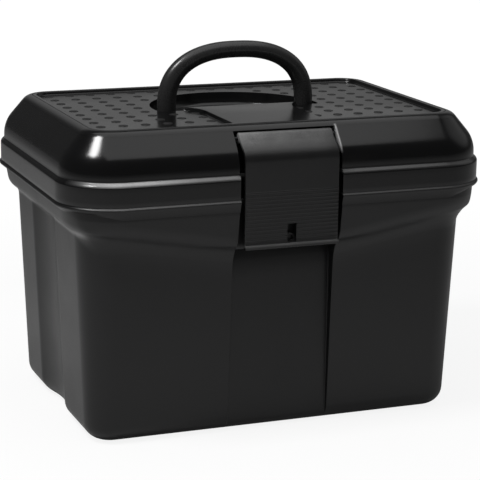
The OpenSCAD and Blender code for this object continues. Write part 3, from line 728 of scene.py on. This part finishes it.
# paired points of the plate's face and back, from the lip up to the barrel
def latchStations():
    s = latchSizes
    low, t = s["low"], s["thick"]
    face, back = [], []

    def add(off, z, inner=None):
        face.append((off, z))
        back.append(inner or (-t, z))

    lipTop, out = low + s["lipH"], s["lipOut"]
    for off, z in ((out - 0.7, low), (out - 0.2, low + 0.2), (out, low + 0.7),
                   (out, lipTop - 0.7), (out - 0.2, lipTop - 0.2), (out - 0.7, lipTop)):
        add(off, z, (-t + (0.6 if z == low else 0.0), z))
    add(0.25, lipTop)
    add(0.0, lipTop + 0.3)
    firstRib = lipTop + s["ribPitch"]
    for i in range(s["ribs"]):
        z = firstRib + i * s["ribPitch"]
        for share in (-0.3, -0.22, -0.11, 0.0, 0.11, 0.22, 0.3):
            crest = s["ribOut"] * max(0.0, 1 - (share / 0.3) ** 2) ** 0.5
            add(crest, z + share * s["ribPitch"])
    axis = pocketTop - slopeUp * s["axisDrop"] - slopeOut * s["axisIn"]
    bend = np.array([-s["bendR"], s["bendZ"]])
    # the head runs straight from the bend to a curl that clears the pocket's edge when swung up
    curl = axis + slopeOut * s["curl"][0] - slopeUp * s["curl"][1]
    reach = curl - bend
    turn = math.asin(s["bendR"] / np.hypot(*reach)) - math.atan2(reach[0], reach[1])
    top = face[-1][1]
    for z in np.linspace(top, bend[1], 5)[1:]:
        add(0.0, z)
    for a in np.linspace(0, turn, 17)[1:]:
        way = np.array([math.cos(a), math.sin(a)])
        add(*(bend + way * s["bendR"]), tuple(bend + way * (s["bendR"] - t)))
    start = np.array(face[-1])
    for k in (0.35, 0.7, 1.0):
        point = start + (curl - start) * k
        add(*point, tuple(point - way * t))
    reach = curl - axis
    lean = math.atan2(reach[1], reach[0]) + math.acos(s["barrelR"] / np.hypot(*reach))
    return face, back, (axis[0], axis[1], math.degrees(lean))


def latchPlate():
    s = latchSizes
    face, back, axis = latchStations()
    # the barrel closes the plate's upper end
    barrel = arc(axis[0], axis[1], s["barrelR"], axis[2], axis[2] + s["barrelTurn"], 30)
    section = np.array(face + barrel + back[::-1])
    away = outwards(section)
    half, edge, slot = s["half"], s["edge"], s["slotHalf"]
    right = [(x, 0.0) for x in (slot, slot + 0.8, 15.0, 30.0)]
    right += [(half - k * edge, d * edge) for k, d in easing[::-1]]
    columns = [(-x, d) for x, d in right[::-1]] + [(0.0, 0.0)] + right
    points, faces = cappedRings([frontRow(x, section - away * shrink * 0.8) for x, shrink in columns])
    # lock slot: points of the face and columns that it spans
    width = len(section)
    inSlot = [k for k in range(len(face)) if s["low"] + s["lipH"] + 0.2 < face[k][1] < s["slotTop"]]
    k0, k1 = inSlot[0], inSlot[-1]
    slotColumns = [i for i, (x, d) in enumerate(columns) if abs(x) <= slot + 1e-6]
    c0, c1 = slotColumns[0], slotColumns[-1]

    # the point of the back behind a point of the face
    def pair(k):
        return width - 1 - k

    def cutAway(i, k):
        return c0 <= i < c1 and (k0 <= k < k1 or pair(k1) <= k < pair(k0))

    faces = [f for n, f in enumerate(faces) if not cutAway(*divmod(n, width))]
    for i in (c0, c1):
        for k in range(k0, k1):
            faces.append((i * width + k, i * width + k + 1, i * width + pair(k + 1), i * width + pair(k)))
    for k in (k0, k1):
        for i in range(c0, c1):
            faces.append((i * width + k, (i + 1) * width + k, (i + 1) * width + pair(k), i * width + pair(k)))
    # hooks behind the plate
    x0, x1, z0, z1, out = s["hook"]
    root, tip = s["thick"] - boxSizes["halfD"] - 0.6, s["thick"] - boxSizes["halfD"] + out
    outline = [(root, z0), (tip - 0.4, z0), (tip, z0 + 0.4), (tip, z1 - 0.2), (tip - 0.2, z1), (root, z1)]
    return [(points, faces)] + blockPair(outline, x0, x1, ease=0.3)


buildPiece("latch_plate", latchPlate(), latchFinish, "latch_body", "latch_plastic", ["front_latch"],
           sharpAngle=38)


# tub

tubSizes = {
    "base": (175.2, 115.9, 24.0), "lean": math.tan(math.radians(2.5)), "footRound": 16.0, "floor": 3.0,
    "band": (195.0, 139.7, 46.0), "leanZ": 210.5, "bandLean": 10.0, "frontLean": 8.0, "frontLeanZ": 206.0,
    "bendZ": 196.6, "bendR": 12.0, "shoulderAngle": 51.0, "shoulderIn": -24.0,
    "apronZ": 170.3, "apronRise": math.tan(math.radians(9.5)), "underFall": math.tan(math.radians(34.0)),
    "easeOut": 25.0, "easeCorner": 76.7, "channelDepth": 2.5, "ledgeZ": 172.0, "rampZ": 146.0, "rampIn": 4.0,
    "fluteHalf": 39.0, "fluteDepth": 6.0, "fluteY": 7.0, "footFollow": 0.8,
    "beadLow": 213.0, "beadOut": 1.5, "beadRound": 1.8,
    "tongueIn": 4.5, "tongueT": 2.0, "tongueTop": 222.5, "tongueStart": 51.5,
    # how softly forms meet, and the depths between which the ends give way to the front
    "softEdge": 0.8, "softBand": 1.0, "creaseBlend": (2.5, 12.0), "edgeBlend": (2.0, 7.0),
    "frontShare": (98.0, 118.0),
    # foot ring under the base
    "ring": (28.0, 36.0), "ringEdge": [(-0.6, 0), (0.1, 0.25), (0.5, 1.0), (1.2, 1.2)],
    # outline outside the tub that its columns start from, and where their points lie close together
    "cage": (206.0, 147.0, 54.0), "endCrease": 190.0, "topCrease": 194.0, "close": (20.0, 9.0),
}


def softMax(a, b, k):
    h = np.clip(0.5 + 0.5 * (a - b) / k, 0, 1)
    return b + (a - b) * h + k * h * (1 - h)


def roundRectField(x, y, halfX, halfY, corner):
    qx, qy = np.abs(x) - (halfX - corner), np.abs(y) - (halfY - corner)
    return np.hypot(np.maximum(qx, 0), np.maximum(qy, 0)) + np.minimum(np.maximum(qx, qy), 0) - corner


# signed field of the tub's outer form, or of its inside when moved in by a wall
def tubField(x, y, z, inset):
    s = tubSizes
    hx, hy, c = s["base"]
    r = s["footRound"] - inset
    low = s["floor"] if inset else 0.0
    up = np.clip(low + r - z, 0, r)
    foot = r - np.sqrt(np.maximum(r * r - up * up, 0))
    body = roundRectField(x, y, hx, hy, c) - s["lean"] * z + inset + foot * (1 - s["footFollow"])
    half, depth = s["fluteHalf"], s["fluteDepth"]
    fluteR = (half ** 2 + depth ** 2) / (2 * depth)
    axisX = hx + fluteR - depth + s["lean"] * z
    flute = np.hypot(np.abs(x) - axisX, y - s["fluteY"]) - fluteR - inset
    body = softMax(body, -flute, s["softEdge"]) + foot * s["footFollow"]
    # upper band: end view, plan, sloping undersides and eased corners
    bx, by, bc = s["band"]
    halfY = by - inset - np.maximum(s["frontLeanZ"] - z, 0) * math.tan(math.radians(s["frontLean"]))
    plan = roundRectField(x, y, bx - inset, halfY, bc - inset)
    # leaning band, bend and slope of the shoulder, measured from an outline that leaves the front alone
    ring = roundRectField(x, y, bx, by + s["easeOut"], s["easeCorner"])
    lean, turn = math.radians(s["bandLean"]), math.radians(s["shoulderAngle"])
    knee = -(s["leanZ"] - s["bendZ"]) * math.tan(lean)
    out, over = ring - knee, z - s["bendZ"]
    leaning = out * math.cos(lean) - over * math.sin(lean)
    sloping = out * math.cos(turn) - over * math.sin(turn)
    reach = s["bendR"] / (1 + math.cos(turn - lean))
    midR = knee - (math.cos(lean) + math.cos(turn)) * reach
    midZ = s["bendZ"] + (math.sin(lean) + math.sin(turn)) * reach
    away = np.hypot(ring - midR, z - midZ) - s["bendR"]
    facing = np.arctan2(midZ - z, ring - midR)
    side = np.where((facing > lean) & (facing < turn), away, np.maximum(leaning, sloping)) + inset
    side = np.where(ring < s["shoulderIn"], np.minimum(side, -0.5), side)
    rise, fall = s["apronRise"], s["underFall"]
    steep = math.sqrt(1 + rise * rise + fall * fall)
    under = (s["apronZ"] + rise * np.abs(x) + fall * (np.abs(y) - by) - z) / steep + inset
    # soft under the front and the back, tighter along the ends
    start, full = s["frontShare"]
    share = np.clip((np.abs(y) - start) / (full - start), 0, 1)
    edge, crease = [low + (high - low) * share for low, high in (s["edgeBlend"], s["creaseBlend"])]
    band = softMax(softMax(plan, side, s["softBand"]), under, edge)
    form = -softMax(-body, -band, crease)
    # latch channel down the front, and the bay over it
    across = np.abs(x) - boxSizes["bayHalf"] - inset
    climb = np.clip((z - s["rampZ"]) / (s["ledgeZ"] - s["rampZ"]), 0, 1)
    low = softMax(across, y + hy - s["channelDepth"] - s["rampIn"] * climb * climb - inset, s["softEdge"])
    low = np.maximum(low, z - s["ledgeZ"] - inset)
    bay = softMax(across, y - boxSizes["bayFloor"] - inset, s["softEdge"])
    return softMax(form, -np.minimum(low, bay), s["softBand"])


walk = {"steps": 90, "share": 0.7, "longest": 4.0, "close": 0.0005}


# walks in along each column's normal to the form's surface
def reachIn(px, py, nx, ny, z, inset):
    px, py, nx, ny, z = np.broadcast_arrays(px, py, nx, ny, z)
    near = np.zeros(px.shape)
    done = np.zeros(px.shape, dtype=bool)
    for _ in range(walk["steps"]):
        value = tubField(px - nx * near, py - ny * near, z, inset)
        near = np.where(done, near, near + np.clip(value * walk["share"], 0.0, walk["longest"]))
        done |= value < walk["close"]
    return px - nx * near, py - ny * near


def tubColumns(fine):
    s = tubSizes
    hx, hy, c = s["cage"]
    x, y = hx - c, hy - c
    edges = [s["fluteY"] - s["fluteHalf"], s["fluteY"] + s["fluteHalf"]]
    side = [v for v in np.arange(2.0 - y, y - 1.0, 4.0) if min(abs(v - e) for e in edges) > 3.5]
    side = sorted(side + [e + d for e in edges for d in np.arange(-3.0, 3.1, 0.5)])
    front, gap = [0, 20, 40, 46, 48, 49.5, 50, 50.3, 50.6, 51, 52, 56], 2.0
    if fine:
        front, gap = [0, 10, 20, 30, 38, 43, 45, 46, *np.arange(46.4, 49.81, 0.2), 50.2, 51.5, 54, 58], 1.0
    front += list(np.arange(64, x, 5.0 * gap))
    rear = list(np.arange(0, x, 6.0 * gap))
    rear = rear[::-1] + [-v for v in rear[1:]]
    return np.array(roundPath(s["cage"], front, side, rear, np.linspace(0, 90, 37 if fine else 19)))


# heights of a column's points: close together at the foot, the crease and the shoulder
def tubHeights(columns, inset):
    s = tubSizes
    low = s["floor"] if inset else 0.0
    r = s["footRound"] - inset
    foot = low + r * (1 - np.cos(np.radians(np.linspace(0, 90, 10))))
    lengthways = np.abs(columns[:, 3])
    edge = s["apronZ"] + s["apronRise"] * np.maximum(np.abs(columns[:, 0]), boxSizes["bayHalf"] + 2.0)
    below, above = s["close"]
    crease = np.minimum(lengthways * edge + (1 - lengthways) * s["endCrease"], s["topCrease"])[:, None]
    ledge = s["ledgeZ"] + inset - crease[0, 0]
    near = np.sort(np.concatenate([np.linspace(-below, above, 40), [ledge - 0.06, ledge + 0.06]]))
    lower = foot[-1] + (crease - below - foot[-1]) * np.linspace(0, 1, 17)[None, 1:-1]
    upper = crease + above + (s["beadLow"] - crease - above) * np.linspace(0, 1, 15)[None, 1:]
    return np.hstack([np.repeat(foot[None, :], len(columns), 0), lower, crease + near[None, :], upper])


def tubSkin(inset, fine):
    columns = tubColumns(fine)
    z = tubHeights(columns, inset)
    px, py, nx, ny = columns.T[:, :, None]
    return np.stack([*reachIn(px, py, nx, ny, z, inset), z], axis=2)


def tubBase(rows):
    (hx, hy, c), (far, near) = tubSizes["base"], tubSizes["ring"]
    outer = roundedLoop(hx - far, hy - far, c / 2, 3.0)
    inner = roundedLoop(hx - near, hy - near, c / 2 + far - near, 3.0)
    drop = tubSizes["ringEdge"]

    def height(points):
        return np.minimum(edgeDepth(points, outer[0], drop), edgeDepth(points, inner[0], drop, -1))

    return liftedSheet(rows[:, 0, :2], nested(*outer, drop) + nested(inner[0], -inner[1], drop), height)


def tubRim():
    s, b = tubSizes, boxSizes
    r = s["beadRound"]
    low, top, out = s["beadLow"], b["parting"], s["beadOut"]
    # flush with the band in front, a half round where the ends stand back
    front = [(-2.2, low - 5.6), (-0.82, low - 5.6), (-0.7, low - 4.4), (-0.45, low - 3.0), (-0.1, low - 1.6),
             (0.35, low), (0.85, low + 1.4), (1.25, low + 2.2), (out, top - 2.0), (out - 0.03, top - 1.55),
             (out - 0.15, top - 1.2), (out - 0.36, top - 0.96), (0.75, top - 0.62), (0.4, top - 0.32),
             (0.06, top - 0.06), (0.05, top + 0.2), (-0.3, top + 0.2)]
    plain = [(-6.5, low - 3.0), (-5.2, low - 3.0), (-3.8, low - 0.9), (-2.4, low + 0.7)]
    plain += arc(out - r, top - r, r, -45, 90, len(front) - 4)
    tin, tout, tip = -s["tongueIn"], -s["tongueIn"] - s["tongueT"], s["tongueTop"]
    tongue = [(tin, tip - 0.6), (tin - 0.2, tip - 0.15), (tin - 0.6, tip),
              (tout + 0.6, tip), (tout + 0.2, tip - 0.15), (tout, tip - 0.6)]
    ends = [(tout, top), (tout, low), (-8.5, low)]

    def section(lengthways, inside):
        share = lengthways ** 6
        skin = (np.array(plain) * (1 - share) + np.array(front) * share).tolist()
        return [(-8.5, low), (-5.0, low)] + skin + [(tin, top)] + inside

    # beside the latch channel the bead runs on without the tongue
    start = s["tongueStart"]
    flat = [(off, top) for off, _ in tongue]
    bare = section(1.0, flat + ends)
    rows = [frontRow(x, bare) for x in (b["bayHalf"], start)]
    rows += [sweepAlong([step], section(abs(step[3]), tongue + ends))[0] for step in rimPath(start)]
    rows += [frontRow(-x, bare) for x in (start, b["bayHalf"])]
    return [lattice(rows), polygonFace(rows[0]), polygonFace(rows[-1])]


# wall across the top of the latch channel, and its two returns
def tubChannelTop():
    b = boxSizes
    bay, wall, face = b["bayHalf"], b["wall"], b["bayFloor"]
    low, high, rear = tubSizes["beadLow"] - 1.0, b["parting"], face + wall
    outline = [(face, low), (face, high - 0.4), (face + 0.4, high),
               (rear - 0.4, high), (rear, high - 0.4), (rear, low)]
    front = 0.5 - tubSizes["band"][1]
    sides = [(front, low), (front, high), (rear, high), (rear, low)]
    across = blockAlongX(outline, -bay - wall, bay + wall, ease=0.2)
    return [across] + blockPair(sides, bay, bay + wall, ease=0.2)


def tubKnuckles():
    b, h = boxSizes, hingeSizes
    y, z, r, half = b["hingeY"], b["hingeZ"], b["knuckleR"], h["tubWidth"] / 2
    root, top = b["halfD"] - b["wall"], b["parting"]
    outline = arc(y, z, r, 0, 180, 17)
    outline += [(y - r, top), (root, top), (root, h["rootLow"]), (y + r, h["noseLow"])]
    return blockPair(outline, b["hingeX"] - half, b["hingeX"] + half)


catchSizes = {
    "x": (9.0, 37.0), "z": (191.5, 194.5), "tip": -136.9, "root": -130.0,
    "bossZ": 181.5, "bossR": 4.3, "holeR": 2.6, "holeDeep": 2.6,
}


def tubCatch():
    s = catchSizes
    (z0, z1), tip, root = s["z"], s["tip"], s["root"]
    outline = [(root, z0 - 0.6), (tip + 0.5, z0), (tip, z0 + 0.5),
               (tip, z1 - 0.9), (tip + 0.9, z1), (root, z1 + 1.0)]
    hole, boss, deep = s["holeR"], s["bossR"], tip + s["holeDeep"]
    profile = [(0.0, deep), (hole, deep), (hole, tip + 0.3), (hole + 0.3, tip),
               (boss - 0.4, tip), (boss, tip + 0.4), (boss, root)]
    knob = turned(profile, 40, lambda u, v, y: (u, y, s["bossZ"] + v))
    return blockPair(outline, *s["x"], ease=0.4) + [knob]


restSizes = {
    "y": (-78.0, 0.0, 78.0), "half": 1.5, "upper": [(178.4, 199.0), (190.4, 199.0), (185.0, 194.0)],
    "foot": (180.0, 189.0), "footInFlute": (178.8, 190.0),
}


def trayRests():
    s = restSizes
    parts = []
    for side in (-1, 1):
        for y in s["y"]:
            outline = s["upper"] + [s["foot"] if y else s["footInFlute"]]
            parts.append(cappedRings([[(side * x, y + shift, z) for x, z in outline]
                                      for shift in (-s["half"], s["half"])]))
    return parts


outer = tubSkin(0.0, True)
inner = tubSkin(boxSizes["wall"], False)
tubParts = [lattice(outer, closeAcross=True), tubBase(outer), lattice(inner, closeAcross=True)]
tubParts.append(polygonFace(inner[:, 0, :]))
onTub = tubFinish, "tub_body", "tub_plastic"
buildPiece("tub_moulding", tubParts, *onTub, ["tub"])
buildPiece("tub_rim", tubRim() + tubChannelTop(), *onTub)
buildPiece("tub_knuckles", tubKnuckles(), *onTub)
buildPiece("tub_catch", tubCatch(), *onTub)
buildPiece("tray_rests", trayRests(), *onTub)


# solids that keep their own shape

pins = ("handle_pin_left", "handle_pin_right", "latch_pin", "hinge_pin_left", "hinge_pin_right")
for name, finish in [("lift_out_tray", trayFinish)] + [(pin, pinFinish) for pin in pins]:
    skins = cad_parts[name].data.materials
    skins.clear()
    skins.append(finish)
print("solids dressed")


# studio

studio = {
    "floorTone": 0.83, "floorSize": 14.0, "glowNear": 1.10, "glowFar": 1.26, "glowReach": (0.45, 1.4),
    # share of the white background that each kind of ray sees, in the floor and in the air
    "seen": {"Is Camera Ray": (0.8, 1.0), "Is Transmission Ray": (0.8, 1.0), "Is Glossy Ray": (0.06, 0.02)},
    "air": 0.04,  # light of the air away from the glows
    # axis, where a glow starts and where it is full (as cosines), strength
    "glows": [((0.36, 0.90, 0.24), 0.87, 0.97, 0.2), ((0.85, 0.05, 0.52), 0.86, 0.97, 0.3)],
    "softboxes": [
        # name, place, aimed at, width, height, brightness
        ("overhead_softbox", (0.12, -0.2, 1.42), (0.12, -0.2, 0.0), 1.35, 1.6, 1.0),
        ("window_softbox", (-0.80, -0.19, 1.42), (-0.16, -0.12, 0.26), 0.34, 0.34, 29.0),
    ],
}


def seenShare(wire, place):
    total = 0.0
    for kind, shares in studio["seen"].items():
        total = total + wire.node("ShaderNodeLightPath", out=kind) * shares[place]
    return total


# pale floor: white to the camera where it is lit, with the shadow left in it
def stageFloor():
    half = studio["floorSize"] / 2
    mesh = bpy.data.meshes.new("studio_floor")
    corners = [(-half, -half, 0), (half, -half, 0), (half, half, 0), (-half, half, 0)]
    mesh.from_pydata(corners, [], [(0, 1, 2, 3)])
    floor = addObject("studio_floor", mesh)
    material, wire = startFinish("pale_floor")
    matt = wire.node("ShaderNodeBsdfDiffuse", {}, {"Color": grey(studio["floorTone"])})
    place = wire.node("ShaderNodeTexCoord", out=3)
    away = wire.node("ShaderNodeVectorMath", {"operation": "LENGTH"}, {0: place}, out=1)
    level = spread(wire, away, *studio["glowReach"], studio["glowNear"], studio["glowFar"])
    glow = wire.node("ShaderNodeEmission", {}, {"Color": grey(1.0), "Strength": level})
    mixed = wire.node("ShaderNodeMixShader", {}, {0: seenShare(wire, 0), 1: matt, 2: glow})
    wire.node("ShaderNodeOutputMaterial", {}, {"Surface": mixed})
    mesh.materials.append(material)


def studioLights():
    for name, place, target, width, height, bright in studio["softboxes"]:
        lamp = bpy.data.lights.new(name, "AREA")
        lamp.shape = "RECTANGLE"
        lamp.size, lamp.size_y = width, height
        lamp.energy = bright * math.pi * width * height
        box = addObject(name, lamp)
        aim = Vector(target) - Vector(place)
        box.location = place
        box.visible_camera = False
        box.rotation_euler = aim.to_track_quat("-Z", "Y").to_euler()
    world = bpy.data.worlds.new("studio_air")
    bpy.context.scene.world = world
    wire = clearTree(world)
    way = wire.node("ShaderNodeTexCoord", out=0)
    light = studio["air"]
    for axis, start, full, strength in studio["glows"]:
        towards = {0: way, 1: Vector(axis).normalized()}
        near = wire.node("ShaderNodeVectorMath", {"operation": "DOT_PRODUCT"}, towards, out=1)
        light = light + wire.node("ShaderNodeMapRange", {"interpolation_type": "SMOOTHSTEP"}, {
            "Value": near, "From Min": start, "From Max": full, "To Max": strength})
    seen = seenShare(wire, 1)
    sky = wire.node("ShaderNodeBackground", {}, {"Color": grey(1.0), "Strength": light * (1 - seen) + seen})
    wire.node("ShaderNodeOutputWorld", {}, {"Surface": sky})


# camera where the photograph was taken from
shot = {"place": (-0.6033, -1.5502, 0.5523), "azimuth": 20.96, "elevation": 13.71, "roll": 0.70,
        "focal": 1806.0, "centre": (224.0, 240.6), "frame": 480.0, "sensor": 36.0, "far": 60.0}


def photoCamera():
    lens = bpy.data.cameras.new("photo_camera")
    lens.sensor_width = shot["sensor"]
    (cx, cy), wide = shot["centre"], shot["frame"]
    lens.lens = shot["focal"] / wide * shot["sensor"]
    lens.shift_x, lens.shift_y = (wide / 2 - cx) / wide, (cy - wide / 2) / wide
    lens.clip_end = shot["far"]
    camera = addObject("photo_camera", lens)
    az, el, roll = [math.radians(shot[k]) for k in ("azimuth", "elevation", "roll")]
    ahead = Vector((math.sin(az) * math.cos(el), math.cos(az) * math.cos(el), -math.sin(el)))
    right = ahead.cross(Vector((0, 0, 1))).normalized()
    above = right.cross(ahead)
    across = right * math.cos(roll) + above * math.sin(roll)
    upwards = above * math.cos(roll) - right * math.sin(roll)
    turn = Matrix((across, upwards, -ahead)).transposed()
    camera.matrix_world = Matrix.Translation(shot["place"]) @ turn.to_4x4()
    bpy.context.scene.camera = camera


stageFloor()
studioLights()
photoCamera()
bpy.context.scene.view_settings.view_transform = "Standard"
print("studio set")
